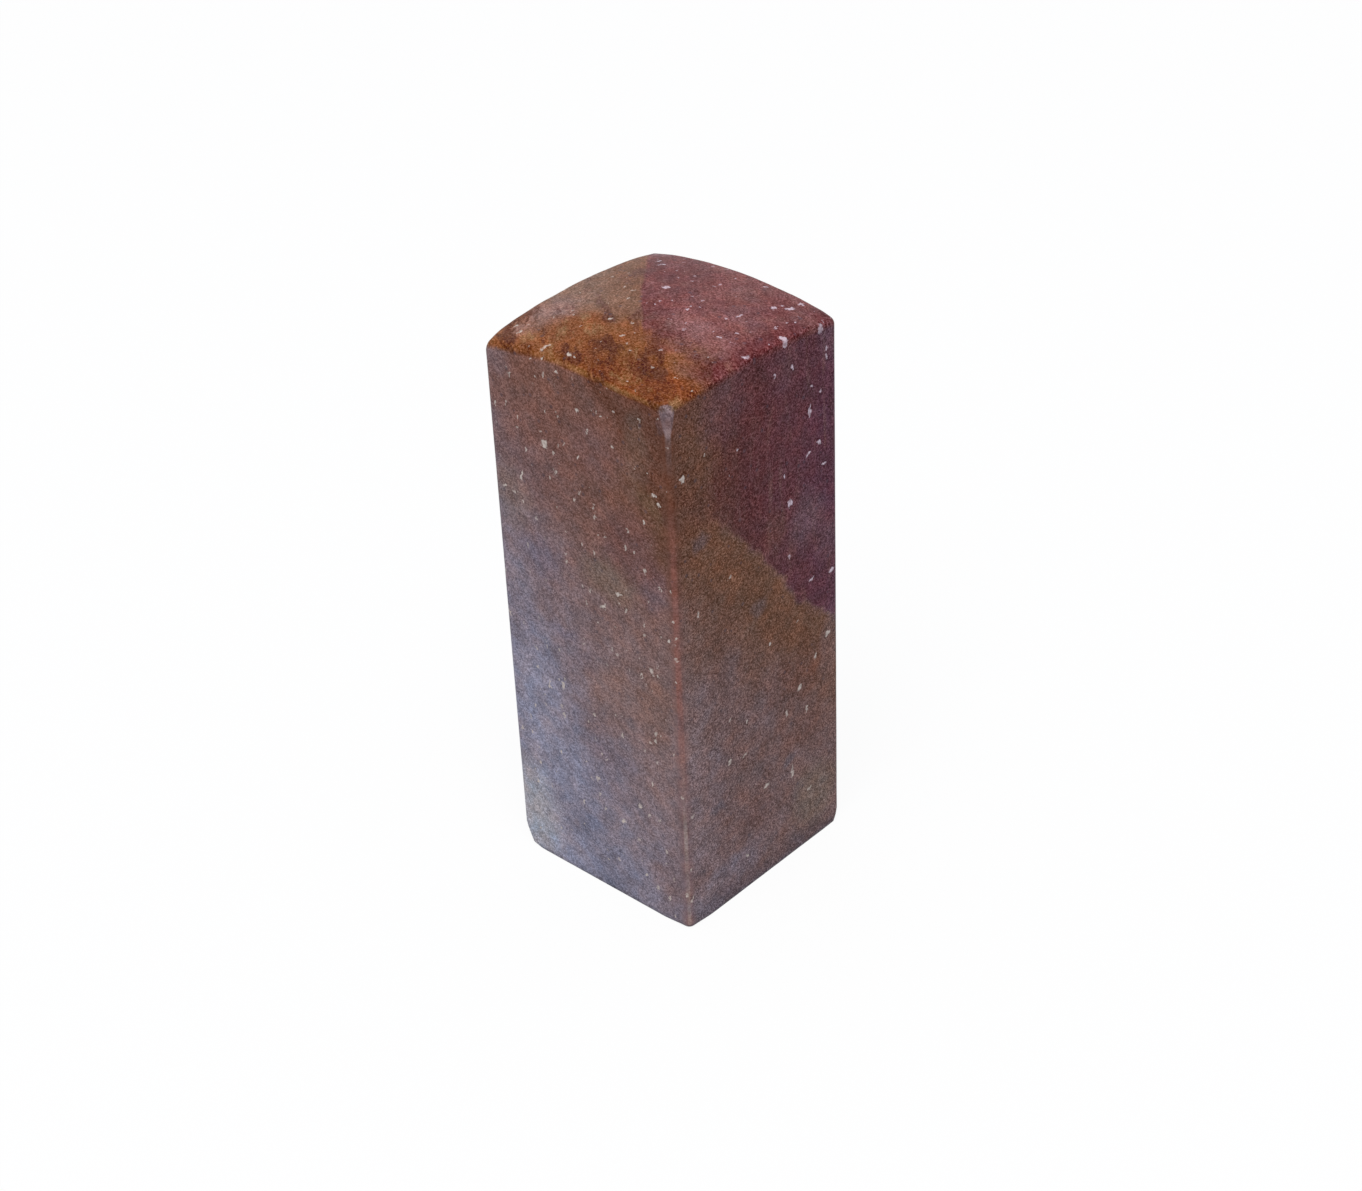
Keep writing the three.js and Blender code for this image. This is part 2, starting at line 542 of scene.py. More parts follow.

# Clouds of colour that come to each side: how far across and up the side its middle lies,
# its half width and half height, all mm, its colour and how strongly it shows.
# The pale lavender, blue-grey and pearl clouds low on the front, most of them by its left
# edge, are partly grey clay and partly a painted bluish reflection.
FRONT_CLOUDS = [
    (-7.0, 58.0, 6.0, 5.0, TERRACOTTA, 0.35),
    (-11.0, 61.8, 2.5, 1.6, ASH, 0.5),
    (2.5, 55.5, 3.6, 3.6, DUSTY_ROSE, 0.5),
    (-7.0, 5.0, 3.5, 5.0, PALE_LAVENDER, 0.6),
    (9.8, 42.5, 2.2, 3.2, DUSTY_PLUM, 0.5),
    (10.0, 41.5, 2.0, 2.4, ASH, 0.4),
    (-0.5, 22.5, 4.5, 4.0, ASH, 0.4),
    (-4.5, 53.0, 5.0, 6.0, DUSTY_ROSE, 0.3),
    (8.2, 57.6, 1.5, 4.5, OLIVE_GREY, 0.3),
    (9.2, 51.5, 1.5, 1.6, MOSS, 0.4),
    (10.9, 59.0, 1.2, 2.6, DARK_BROWN, 0.5),
    (11.8, 50.0, 1.6, 6.0, DARK_BROWN, 0.5),
    (-10.0, 46.0, 3.0, 4.0, OLIVE_GREY, 0.4),
    (6.5, 46.0, 4.0, 4.5, MULBERRY, 0.55),
    (3.0, 41.0, 4.0, 2.6, GREEN_GREY, 0.5),
    (-6.5, 39.8, 3.2, 2.6, SMOKE, 0.55),
    (-4.0, 31.7, 2.2, 1.0, SMOKE, 0.5),
    (-0.8, 29.0, 1.8, 1.4, SMOKE, 0.35),
    (-5.5, 33.8, 2.5, 2.0, UMBER, 0.15),
    (2.5, 26.5, 5.0, 4.2, CLAY, 0.35),
    (9.0, 27.5, 3.0, 6.0, UMBER, 0.5),
    (-9.0, 21.0, 5.0, 9.0, PALE_LAVENDER, 0.65),
    (-3.5, 20.5, 2.5, 5.0, PALE_LAVENDER, 0.3),
    (8.5, 19.0, 3.5, 4.0, DUSK, 0.4),
    (-5.0, 13.0, 7.0, 4.5, PALE_LAVENDER, 0.45),
    (0.5, 13.8, 4.0, 2.0, SMOKE, 0.3),
    (2.0, 18.2, 4.0, 1.6, SMOKE, 0.4),
    (9.8, 5.5, 2.8, 3.5, MAUVE, 0.5),
    (-2.0, 4.5, 7.0, 5.0, BLUE_GREY, 0.6),
    (2.0, 2.0, 8.0, 2.6, BLUE_GREY, 0.4),
    (-7.0, 2.0, 5.0, 3.5, PALE_LAVENDER, 0.75),
    (-11.2, 5.0, 4.6, 7.5, PEARL, 0.95),
]
RIGHT_CLOUDS = [
    (-9.5, 57.0, 3.5, 5.0, EARTH, 0.5),
    (-8.8, 46.8, 1.1, 1.3, SLATE, 0.4),
    (0.0, 58.0, 3.0, 6.0, RED_PLUM, 0.45),
    (4.5, 60.5, 2.0, 3.0, DUSTY_PLUM, 0.25),
    (7.5, 42.0, 3.2, 3.5, DUSTY_PLUM, 0.7),
    (2.5, 42.5, 1.8, 3.0, RUSSET, 0.4),
    (-0.2, 35.0, 1.1, 1.2, SLATE, 0.5),
    (-10.0, 28.0, 2.5, 4.0, ASH, 0.25),
    (-8.0, 35.0, 5.0, 5.0, EARTH, 0.45),
    (-9.5, 17.5, 3.5, 5.0, ASH, 0.5),
    (7.0, 23.5, 5.0, 3.5, RUSSET, 0.5),
    (6.5, 15.5, 4.0, 2.5, RUSSET, 0.5),
    (4.0, 13.0, 1.2, 0.9, SLATE, 0.5),
    (-7.6, 13.3, 1.2, 0.8, SLATE, 0.5),
    (0.0, 22.0, 3.0, 3.5, ASH, 0.25),
    (8.5, 6.0, 4.0, 4.5, OLIVE_GREY, 0.6),
    (-4.0, 4.0, 4.0, 2.2, BLUE_GREY, 0.3),
    (-1.0, 9.0, 3.0, 3.0, ROSE, 0.35),
    (11.0, 37.5, 2.2, 3.0, DUSTY_PLUM, 0.5),
    (11.2, 24.0, 1.8, 5.0, ASH, 0.3),
    (11.2, 61.5, 1.8, 2.5, DUSTY_PLUM, 0.4),
    (4.0, 23.5, 6.0, 3.0, RUSSET, 0.35),
    (-10.8, 5.8, 1.8, 2.5, RUSSET, 0.4),
    (-6.0, 0.0, 7.0, 2.6, INK, 0.5),
    (6.0, 0.0, 7.0, 2.6, INK, 0.45),
    (1.5, 6.0, 3.0, 2.0, ASH, 0.3),
    (-1.0, 31.0, 3.4, 7.0, EARTH, 0.5),
    (6.0, 19.5, 6.0, 4.0, RUSSET, 0.3),
    (-4.5, 60.5, 4.0, 4.0, DUSTY_PLUM, 0.35),
]
OCHRE_CLOUDS = [
    (-9.5, -5.5, 3.2, 4.0, PINK, 0.9),
    (-3.6, -1.2, 2.8, 2.0, PALE_OLIVE, 0.4),
    (-9.0, 4.8, 3.6, 3.6, OLIVE, 0.75),
    (-4.5, 2.4, 2.6, 2.8, OLIVE, 0.7),
    (-0.6, -3.6, 1.6, 1.2, HONEY, 0.5),
    (0.8, -5.0, 2.2, 1.4, OCHRE, 0.6),
    (4.4, -5.4, 2.4, 1.4, OCHRE, 0.6),
    (-4.2, -6.0, 2.2, 1.2, BURNT_OCHRE, 0.6),
    (-6.0, -9.0, 2.4, 1.8, BURNT_OCHRE, 0.5),
    (1.6, -8.8, 2.4, 1.4, HONEY, 0.45),
    (0.3, -9.8, 1.5, 1.6, BURNT_BROWN, 0.45),
    (5.6, -8.8, 2.4, 1.8, BURNT_BROWN, 0.85),
    (8.4, -9.9, 1.6, 1.1, BURNT_BROWN, 0.6),
    (2.0, -11.2, 3.0, 1.2, BURNT_OCHRE, 0.6),
    (-6.3, -12.2, 1.4, 0.9, BURNT_BROWN, 0.6),
    (-9.6, -10.0, 2.5, 2.0, PINK, 0.65),
    (8.5, -9.6, 3.4, 2.2, BURNT_OCHRE, 0.6),
    (9.5, -6.6, 2.0, 1.2, RUSSET, 0.5),
]
PLUM_CLOUDS = [
    (-5.6, 8.4, 4.0, 3.8, RED_PLUM, 0.8),
    (-1.5, 6.5, 3.0, 2.6, RED_PLUM, 0.45),
    (0.5, 9.8, 3.4, 1.8, WINE, 0.4),
    (8.0, -1.2, 3.4, 2.4, BLUSH, 0.4),
    (4.2, -0.4, 3.2, 2.0, BLUSH, 0.5),
    (4.2, 8.2, 2.6, 2.0, DUSTY_ROSE, 0.4),
    (7.5, 4.5, 3.0, 2.2, DUSTY_PLUM, 0.25),
    (10.4, -5.2, 1.6, 1.6, OXBLOOD, 0.6),
    (8.5, 9.8, 6.0, 4.6, RED_PLUM, 0.7),
    (11.8, 5.4, 1.2, 5.4, OXBLOOD, 0.8),
    (10.2, 9.0, 3.6, 4.0, DARK_WINE, 0.35),
    (-11.0, 11.6, 2.0, 1.4, ASH, 0.6),
]

# The two sides behind carry the same kinds of stain, fewer and wider.
REAR_CLOUDS = [
    (6.0, 56.0, 5.0, 6.0, DUSTY_PLUM, 0.5),
    (-5.0, 50.0, 4.0, 7.0, PLUM_RIM, 0.5),
    (5.0, 38.0, 4.0, 4.0, MULBERRY, 0.5),
    (-7.0, 33.0, 5.0, 5.0, MOSS, 0.4),
    (4.0, 22.0, 6.0, 4.0, RUSSET, 0.5),
    (-6.0, 11.0, 6.0, 6.0, SMOKE, 0.5),
    (7.0, 6.0, 5.0, 4.0, ASH, 0.5),
]
FAR_CLOUDS = [
    (-4.0, 57.0, 5.0, 4.0, TERRACOTTA, 0.5),
    (6.0, 52.0, 4.0, 6.0, MULBERRY, 0.5),
    (-7.0, 42.0, 4.0, 5.0, OLIVE_GREY, 0.5),
    (3.0, 36.0, 5.0, 4.0, SMOKE, 0.5),
    (-3.0, 24.0, 6.0, 4.0, CLAY, 0.4),
    (6.0, 14.0, 5.0, 6.0, BLUE_GREY, 0.5),
    (-7.0, 7.0, 4.0, 5.0, PEARL, 0.6),
]

# The largest pale crystals, as a maker would mark them on the stone: how far across and
# up the side each lies, its length and width, all mm, and how far it leans, in degrees.
FRONT_CRYSTALS = [
    (-4.5, 53.9, 1.3, 0.9, 20),
    (0.3, 59.4, 0.6, 0.5, 0),
    (-2.2, 62.9, 0.5, 0.4, 0),
    (3.5, 59.9, 0.4, 0.3, 0),
    (4.9, 57.0, 0.7, 0.5, -30),
    (-8.3, 54.5, 0.6, 0.3, -40),
    (-5.0, 55.2, 0.4, 0.3, 0),
    (0.1, 54.0, 0.6, 0.3, 40),
    (10.1, 53.4, 0.9, 0.6, 30),
    (10.7, 52.6, 0.6, 0.5, 0),
    (8.6, 49.7, 0.8, 0.4, 20),
    (-8.2, 49.0, 1.7, 0.4, 25),
    (1.9, 47.9, 0.6, 0.5, 60),
    (-10.9, 46.8, 0.7, 0.4, 60),
    (-9.6, 46.5, 0.7, 0.3, 80),
    (-8.3, 45.9, 0.5, 0.4, 0),
    (5.9, 45.7, 0.9, 0.4, 0),
    (4.6, 39.8, 1.1, 0.5, 80),
    (-0.5, 38.7, 0.5, 0.4, 0),
    (0.6, 38.6, 0.6, 0.3, 0),
    (2.3, 37.4, 1.4, 0.5, 65),
    (11.2, 37.0, 0.8, 0.5, 60),
    (-11.8, 36.2, 0.9, 0.3, 10),
    (-11.6, 30.8, 1.0, 0.3, -40),
    (-8.0, 25.4, 0.6, 0.5, 0),
    (8.7, 23.5, 0.6, 0.5, 0),
    (7.9, 17.5, 1.0, 0.4, 10),
    (-5.5, 15.3, 0.8, 0.4, -20),
    (6.0, 13.7, 1.0, 0.5, 10),
    (3.4, 10.4, 1.0, 0.6, 45),
    (7.9, 3.6, 0.7, 0.5, 0),
    (-9.5, 9.6, 0.9, 0.3, -40),
]
RIGHT_CRYSTALS = [
    (-10.9, 55.2, 1.0, 0.7, 0),
    (-7.7, 56.5, 0.4, 0.3, 0),
    (-2.9, 54.8, 0.5, 0.4, 0),
    (8.2, 54.3, 1.7, 0.5, 0),
    (10.0, 55.9, 0.5, 0.4, 0),
    (8.6, 57.0, 0.5, 0.4, 0),
    (5.6, 60.4, 0.9, 0.5, -30),
    (3.0, 60.5, 0.5, 0.3, 0),
    (4.6, 63.4, 1.3, 0.8, 20),
    (10.0, 62.8, 1.2, 0.8, 20),
    (10.9, 60.4, 0.6, 0.4, 0),
    (10.9, 59.4, 0.6, 0.4, 0),
    (7.8, 49.4, 1.2, 0.4, 50),
    (9.6, 50.0, 1.0, 0.4, -50),
    (10.4, 47.2, 0.9, 0.4, 80),
    (4.9, 45.0, 1.2, 1.0, 0),
    (4.1, 48.5, 0.5, 0.3, 0),
    (4.7, 38.7, 0.9, 0.4, 0),
    (-4.5, 40.9, 1.0, 0.4, 50),
    (-9.4, 38.9, 0.8, 0.3, 0),
    (11.5, 33.7, 0.9, 0.6, 70),
    (8.2, 34.2, 1.2, 0.4, 75),
    (1.3, 29.6, 0.5, 0.5, 0),
    (5.8, 30.2, 0.6, 0.4, 70),
    (10.7, 26.0, 1.0, 0.7, 60),
    (8.7, 24.2, 1.1, 0.3, 10),
    (6.0, 21.5, 1.0, 0.5, 40),
    (3.8, 19.3, 1.3, 0.3, 0),
    (7.1, 18.1, 1.1, 0.4, 0),
    (-5.4, 18.3, 1.0, 0.5, 45),
    (-3.1, 17.8, 1.0, 0.3, 60),
    (-5.2, 23.6, 0.6, 0.4, 30),
    (-2.6, 21.9, 0.9, 0.3, 40),
    (0.3, 11.8, 1.3, 0.4, 65),
    (4.6, 11.2, 2.3, 0.4, 0),
    (-11.5, 14.7, 0.8, 0.4, 70),
    (-12.0, 8.0, 0.9, 0.3, 40),
    (-12.0, 4.0, 1.2, 0.3, 20),
    (7.5, 7.2, 0.9, 0.5, 70),
    (-3.2, 4.3, 0.7, 0.5, 0),
]
HEAD_CRYSTALS = [
    (-2.7, 4.0, 1.1, 0.9, 30),
    (7.7, 8.4, 0.9, 0.7, 0),
    (8.7, 9.7, 1.2, 0.5, 30),
    (12.0, 4.6, 1.2, 0.8, 30),
    (11.9, -0.7, 1.1, 0.6, 0),
    (2.4, 1.5, 0.7, 0.4, -30),
    (-7.6, 8.9, 1.3, 0.3, 45),
    (6.7, 4.3, 1.0, 0.3, 10),
    (-2.6, -4.4, 0.8, 0.5, 50),
    (0.7, -6.3, 0.6, 0.4, 60),
    (5.4, -5.7, 0.5, 0.4, 0),
    (-4.7, -11.3, 1.0, 0.6, 20),
    (-1.6, -11.4, 0.9, 0.6, 70),
    (-10.8, -9.4, 0.8, 0.5, 30),
    (-9.5, -10.2, 0.7, 0.4, 0),
    (10.8, 8.0, 0.6, 0.4, 0),
]

material = bpy.data.materials.new("Waxed seal stone")
material.use_nodes = True
shader = material.node_tree.nodes["Principled BSDF"]
marks = Field(material.node_tree)

# Places on the stone are read in mm, from the middle of the foot. The depth under the
# crown tells the head from the sides, whatever the rounding between them does.
place = marks.node("ShaderNodeTexCoord", {}, {}, "Object").scaled(1 / mm)
x, y, z = place.parts()
edge_x = half_x / mm
edge_y = half_y / mm
head_height = high.z / mm
off_front = marks.vector(x - edge_x, y + edge_y, 0.0).length()
under_crown = (
    off_front.ramp(SIZES["Front lift reach"] / mm, 0.0, 0.0, SIZES["Front lift"] / mm)
    + SIZES["Crown height"] / mm
    - (x / edge_x) ** 2.0 * (SIZES["Crown rise X"] / mm)
    - (y / edge_y) ** 2.0 * (SIZES["Crown rise Y"] / mm)
    - z
)
on_head = under_crown.ramp(0.9, 0.3)


def stirred(field, width, amount):
    """A place moved a little this way and that, in swirls so many mm wide."""
    inputs = {"Vector": field, "Scale": 1 / width, "Detail": 2.0}
    swirl = field.node(
        "ShaderNodeTexNoise", {"noise_dimensions": "3D"}, inputs, "Color"
    )
    return field.plus(swirl.plus((-0.5, -0.5, -0.5)).scaled(amount))


def cells(field, scale, output):
    """Cells about 1 / scale across: each one's own colour, or how far off its middle is."""
    inputs = {"Vector": field, "Scale": scale, "Randomness": 1.0}
    return field.node("ShaderNodeTexVoronoi", {"feature": "F1"}, inputs, output)


# Stains and contacts bend with the stone's own flow, in wide swirls and narrow ones.
bent = stirred(stirred(place, 5.0, 3.0), 1.3, 1.4)
bent_x, bent_y, bent_z = bent.parts()

# Which way a side of the stone faces, and how deep under it a cloud of colour goes, in mm.
FACES_X = 0
FACES_Y = 1
FACES_UP = 2
SIDE_DEPTH = 4.0
HEAD_DEPTH = 2.5


def clouded(colour, rows, faces, level, depth):
    """Lays one side's clouds of colour on the stone, each over the last."""
    for across, up, half_width, half_height, tint, share in rows:
        middle = [across, up]
        middle.insert(faces, level)
        reach = [half_width, half_height]
        reach.insert(faces, depth)
        stretch = tuple(1 / half for half in reach)
        shift = tuple(-mid / half for mid, half in zip(middle, reach))
        away = bent.stretched(stretch, shift).length()
        colour = marks.mixed(colour, tint, away.ramp(1.35, 0.35) * share)
    return colour


# The sides are red-brown high up. Towards the foot the front one turns a dusky pink and
# the others mauve.
low_colour = marks.mixed(DUSK, MAUVE, bent_y.ramp(-12.5, -6.0))
colour = marks.mixed(RED_BROWN, low_colour, bent_z.ramp(54.0, 28.0))

# Lavender and blue-grey lie low down, most of all by the left edge: partly the stone's own
# grey clay, partly a painted bluish reflection of the room.
grey = ((55.0 - bent_z) / 50.0 - bent_x / 22.0 - bent_y / 48.0).ramp(0.35, 1.6)
grey_low = bent_z.ramp(30.0, -4.0) * bent_y.ramp(-3.0, -12.0) * 0.3
grey = 1.0 - (1.0 - grey * 0.95) * (1.0 - grey_low)
clouds = noise(place, 0.2, 3.0, 5.0).ramp(-0.12, 0.12)
colour = marks.mixed(colour, marks.mixed(LAVENDER, BLUE_GREY, clouds), grey)

# High up by the front edge the stone is darker brown, past a contact that leaves the edge
# at two thirds of the height and curves away to the left above it.
past_band = bent_x - 12.3 + (bent_z - 40.0).at_least(0.0) ** 2.7 * 0.00206
brown = past_band.ramp(-2.5, 1.0) * bent_z.ramp(44.0, 53.0)
colour = marks.mixed(colour, DARK_BROWN, brown * 0.8)

# The plum stone is a wedge between three contacts: one a little behind the front edge,
# one that slants across the head, and one that slants up the right side from below.
from_front = bent_y + 5.3 - on_head * 1.2
wander = noise(place, 0.35, 3.0, 13.0)
from_left = x + y + 2.5 - (y - x - 3.0).at_least(0.0) * 0.1 + wander
from_left = (from_left - (60.0 - z).at_least(0.0) * 0.2) / 1.414
across_rear = (bent_x - edge_x) * bent_y.ramp(0.0, 12.0, 0.2, 0.9)
from_below = bent_z + 0.95 * bent_y + across_rear - 40.7
from_below = (from_below + bent_y.ramp(-3.0, 9.0, -1.0, 2.0)) / 1.38

# Olive stone lies below the lower contact. A thin dark streak follows the curved one.
olive = from_below.ramp(0.8, -1.0) * from_below.ramp(-12.0, -4.0) * bent_x.ramp(2.0, 11.0)
colour = marks.mixed(colour, OLIVE, olive)
band = past_band.ramp(-0.4, 0.3) * past_band.ramp(2.6, 0.8) * bent_z.ramp(46.0, 52.0)
colour = marks.mixed(colour, DARK_BROWN, band * 0.7)
colour = clouded(colour, FRONT_CLOUDS, FACES_Y, -edge_y, SIDE_DEPTH)

# The head is olive at the back and ochre in front, burnt darker at the front corner.
head = marks.mixed(OLIVE, PALE_OLIVE, from_left.ramp(-1.0, -6.0))
head = marks.mixed(head, OCHRE, bent_y.ramp(-2.5, -7.0))
burnt = bent_x.ramp(-6.0, 5.0) * bent_y.ramp(-6.0, -9.5)
head = marks.mixed(head, BURNT_OCHRE, burnt * 0.8)
colour = marks.mixed(colour, head, on_head)
colour = clouded(colour, OCHRE_CLOUDS, FACES_UP, head_height, HEAD_DEPTH)

# The plum is redder at its rim and bluer at its heart, and paler and redder on the head.
# Wisps fray its front contact, and rosy and wine-dark streaks run down through it.
plum_colour = marks.mixed(PLUM_RIM, PLUM, from_front.ramp(2.0, 9.0))
plum_colour = marks.mixed(plum_colour, PLUM_HEART, from_front.ramp(10.0, 18.0))
head_plum = marks.mixed(MADDER, WINE, from_left.ramp(6.5, 1.0))
plum_colour = marks.mixed(plum_colour, head_plum, on_head * 0.9)
wisps = noise(place.times((1.0, 1.0, 0.25)), 0.5, 4.0, 14.0)
plum = (
    (from_front + wisps * 9.0).ramp(-3.5, 3.5)
    * from_left.ramp(-0.25, 0.25)
    * from_below.ramp(-0.4, 0.6)
)
colour = marks.mixed(colour, plum_colour, plum)
streaks = noise(place.times((1.0, 1.0, 0.15)), 0.9, 3.0, 21.0) * from_front.ramp(-4.0, 2.0)
colour = marks.mixed(colour, ROSE, streaks.ramp(0.03, 0.2) * plum * 0.5)
colour = marks.mixed(colour, DARK_WINE, streaks.ramp(-0.03, -0.2) * plum * 0.4)
colour = clouded(colour, RIGHT_CLOUDS, FACES_X, edge_x, SIDE_DEPTH)
colour = clouded(colour, REAR_CLOUDS, FACES_Y, edge_y, SIDE_DEPTH)
colour = clouded(colour, FAR_CLOUDS, FACES_X, -edge_x, SIDE_DEPTH)
colour = clouded(colour, PLUM_CLOUDS, FACES_UP, head_height, HEAD_DEPTH)
oxblood = on_head * x.ramp(9.6, 11.4) * y.ramp(-8.5, -5.0)
colour = marks.mixed(colour, OXBLOOD, oxblood * 0.85)

# A rust-red band with a soft border runs down the front edge, partly the stone's own colour
# and partly a painted highlight on the edge's rounding.
from_edge = (edge_x - x).at_least(0.0) + (edge_y + y).at_least(0.0)
streaky = noise(place.times((1.0, 1.0, 0.2)), 1.2, 3.0, 6.0)
edge_band_and_highlight = from_edge.ramp(1.4, 0.3) * z.ramp(56.0, 46.0) * streaky.ramp(-0.3, 0.2, 0.3, 0.5)
edge_band_colour = marks.mixed(DUSTY_ROSE, BRICK, z.ramp(22.0, 40.0, 0.0, 0.4))
colour = marks.mixed(colour, edge_band_colour, edge_band_and_highlight)
# A thin pinkish line on the edge itself is a painted highlight.
edge_highlight_line = from_edge.ramp(0.6, 0.44) * z.ramp(56.0, 44.0)
edge_highlight_line = edge_highlight_line * streaky.ramp(-0.3, 0.2, 0.2, 0.55)
edge_highlight_colour = marks.mixed(DUSTY_ROSE, RUST, z.ramp(18.0, 32.0))
colour = marks.mixed(colour, edge_highlight_colour, edge_highlight_line)
# Low down, pale streaks on the edge are a painted highlight where the rounding catches the
# light.
pale_highlight_line = from_edge.ramp(0.52, 0.44) * z.ramp(26.0, 10.0)
pale_highlight_line = pale_highlight_line * streaky.ramp(-0.2, 0.2, 0.1, 0.35)
colour = marks.mixed(colour, CREAM, pale_highlight_line)

# A honey-coloured painted highlight follows the rounding along the front of the head.
lip_highlight = (y + edge_y).ramp(0.7, 0.2) * under_crown.ramp(0.0, 0.2) * under_crown.ramp(0.7, 0.4)
colour = marks.mixed(colour, HONEY, lip_highlight * x.ramp(-9.0, 1.0) * 0.8)

# The flat below the front corner is painted ash-grey as a reflection, with a darker slate
# painted reflection to its left. A pale painted highlight sits at the corner's tip, and a
# thin painted highlight line runs down the edge from it.
facing, distance = FLATS[0]
flat_past = sum(
    (part * axis for part, axis in zip(facing, (x, y, z))), -distance / mm * hypot(*facing)
)
colour = marks.mixed(colour, ASH, flat_past.ramp(-0.15, -0.03) * 0.6)
stretch = (1.6, 1.6, 0.6)
flat_reflection_place = (11.5, -edge_y, 61.9)
shift = tuple(-part * factor for part, factor in zip(flat_reflection_place, stretch))
from_flat_reflection = bent.stretched(stretch, shift).length()
flat_reflection = from_flat_reflection.ramp(1.3, 0.5) * under_crown.ramp(0.2, 0.6)
colour = marks.mixed(colour, SLATE, flat_reflection * 0.3)
tip_highlight_line = from_edge.ramp(0.58, 0.45) * z.ramp(55.0, 62.5) * under_crown.ramp(0.1, 0.5)
colour = marks.mixed(colour, PEARL, tip_highlight_line * 0.2)
tip_highlight = from_edge.ramp(1.6, 0.5) * under_crown.ramp(0.9, 0.3)
colour = marks.mixed(colour, PEARL, tip_highlight * 0.25)

# The lowest edge is painted darker, towards slate, as a contact shadow along the foot.
colour = marks.mixed(colour, SLATE, z.ramp(0.7, 0.0) * 0.5)

# On the head, dark and pale veins lie along the bedding, which slants through the stone.
bed = (x + y + z) * 0.22
bedded = place.scaled(0.35).plus(marks.vector(bed, bed, bed))
veins = noise(stirred(bedded, 2.5, 2.0), 0.5, 4.0, 16.0, 0.65)
in_ochre = bent_y.ramp(-2.5, -7.0)
dark_vein = marks.mixed(DARK_WINE, BURNT_BROWN, in_ochre)
dark_share = in_ochre * 0.5 + 0.4
colour = marks.mixed(colour, dark_vein, veins.ramp(0.01, 0.1) * on_head * dark_share)
pale_vein = marks.mixed(marks.mixed(PALE_OLIVE, TAN, in_ochre), BLUSH, plum)
pale_share = in_ochre * 0.35 + 0.35
colour = marks.mixed(colour, pale_vein, veins.ramp(-0.03, -0.15) * on_head * pale_share)

# The whole stone is mottled and, seen close, grainy. An even veil of light is added while
# the grain is worked in and taken off again, so that the grain stays nearly grey on the
# strongest colours.
MOTTLING = 0.7
GRAIN_SHARE = 1.2
SINGLE_GRAIN_SHARE = 0.72
VEIL = 0.058

mottle = noise(stirred(place, 3.0, 2.0), 0.4, 2.0, 8.0) * MOTTLING
mottle = mottle + noise(bedded, 1.0, 3.0, 17.0) * MOTTLING
grain = noise(place, 5.0, 2.0, 9.0, 0.9)
light_grain, _, _ = cells(place, 7.0, "Color").parts()
grit = 1.0 + (edge_x - x).ramp(0.6, 0.1) * 0.5 + on_head * 0.1
grit = grit * from_edge.ramp(0.4, 1.4, 0.45, 1.0)
tone = (grain * GRAIN_SHARE + (light_grain - 0.5) * SINGLE_GRAIN_SHARE) * grit
colour = colour.scaled(mottle.math("EXPONENT")).plus((VEIL, VEIL, VEIL))
colour = colour.scaled(tone.math("EXPONENT")).plus((-VEIL, -VEIL, -VEIL))

# Here and there it is a little warmer or cooler, and small ink-grey dots are scattered.
warmth = noise(place, 0.5, 2.0, 10.0)
warm = marks.vector(warmth * 0.4, warmth * -0.05, warmth * -0.4)
colour = colour.times(warm.plus((1.0, 1.0, 1.0)))
dots = cells(place, 1.1, "Distance")
chance = dots.other("Color").parts()[1]
dot = (chance.ramp(0.6, 1.0, 0.0, 0.28) - dots).ramp(-0.03, 0.1)
colour = marks.mixed(colour, INK, dot * 0.4)

# The printing face is bare stone without wax, palest in the hollows of the carving.
inside = (edge_x - abs(x)).at_most(edge_y - abs(y))
printing = inside.ramp(0.2, 0.6) * z.ramp(1.3, 1.1)
hollow = printing * z.ramp(0.3, 0.6)
colour = marks.mixed(colour, BARE, printing * 0.25 + hollow * 0.4)


# Pale crystals with ragged outlines lie in the stone. Those marked on the front and the
# right side come again on the two sides behind, upside down. A crystal goes less than
# 1 / THINNESS mm deep, and the swapped sides turn about the middle of the height.
THINNESS = 1.2
MIDDLE_HEIGHT = 31.5


def crystals(across, up, depth, rows):
    """How many half sizes away the nearest of the crystals marked on one side is."""
    side = across.vector(across, up, depth)
    turned = {}
    nearest = None
    for middle_across, middle_up, length, width, lean in rows:
        turn = radians(lean)
        if lean not in turned:
            turned[lean] = side.node(
                "ShaderNodeVectorRotate",
                {"rotation_type": "Z_AXIS"},
                {"Vector": side, "Angle": turn},
            )
        middle = (
            middle_across * cos(turn) - middle_up * sin(turn),
            middle_across * sin(turn) + middle_up * cos(turn),
        )
        stretch = (2 / width, 2 / length, THINNESS)
        shift = (-middle[0] * stretch[0], -middle[1] * stretch[1], 0.0)
        away = turned[lean].stretched(stretch, shift).length()
        nearest = away if nearest is None else nearest.at_most(away)
    return nearest


ragged = stirred(place, 0.45, 0.9)
rag_x, rag_y, rag_z = ragged.parts()
turn = (x - y).math("SIGN")
side_up = (rag_z - MIDDLE_HEIGHT) * turn + MIDDLE_HEIGHT
nearest = crystals(rag_x * turn, side_up, edge_y + y * turn, FRONT_CRYSTALS)
nearest = nearest.at_most(
    crystals(rag_y * turn, side_up, edge_x - x * turn, RIGHT_CRYSTALS)
)
nearest = nearest.at_most(crystals(rag_x, rag_y, under_crown, HEAD_CRYSTALS))
fleck = nearest.ramp(0.95, 0.6)

# The small ones are scattered at two spacings: so many mm apart, the share of places that
# hold none, and the greatest half width in mm. They are twice as tall as they are wide.
SCATTERED = ((2.2, 0.45, 0.33), (0.8, 0.5, 0.19))

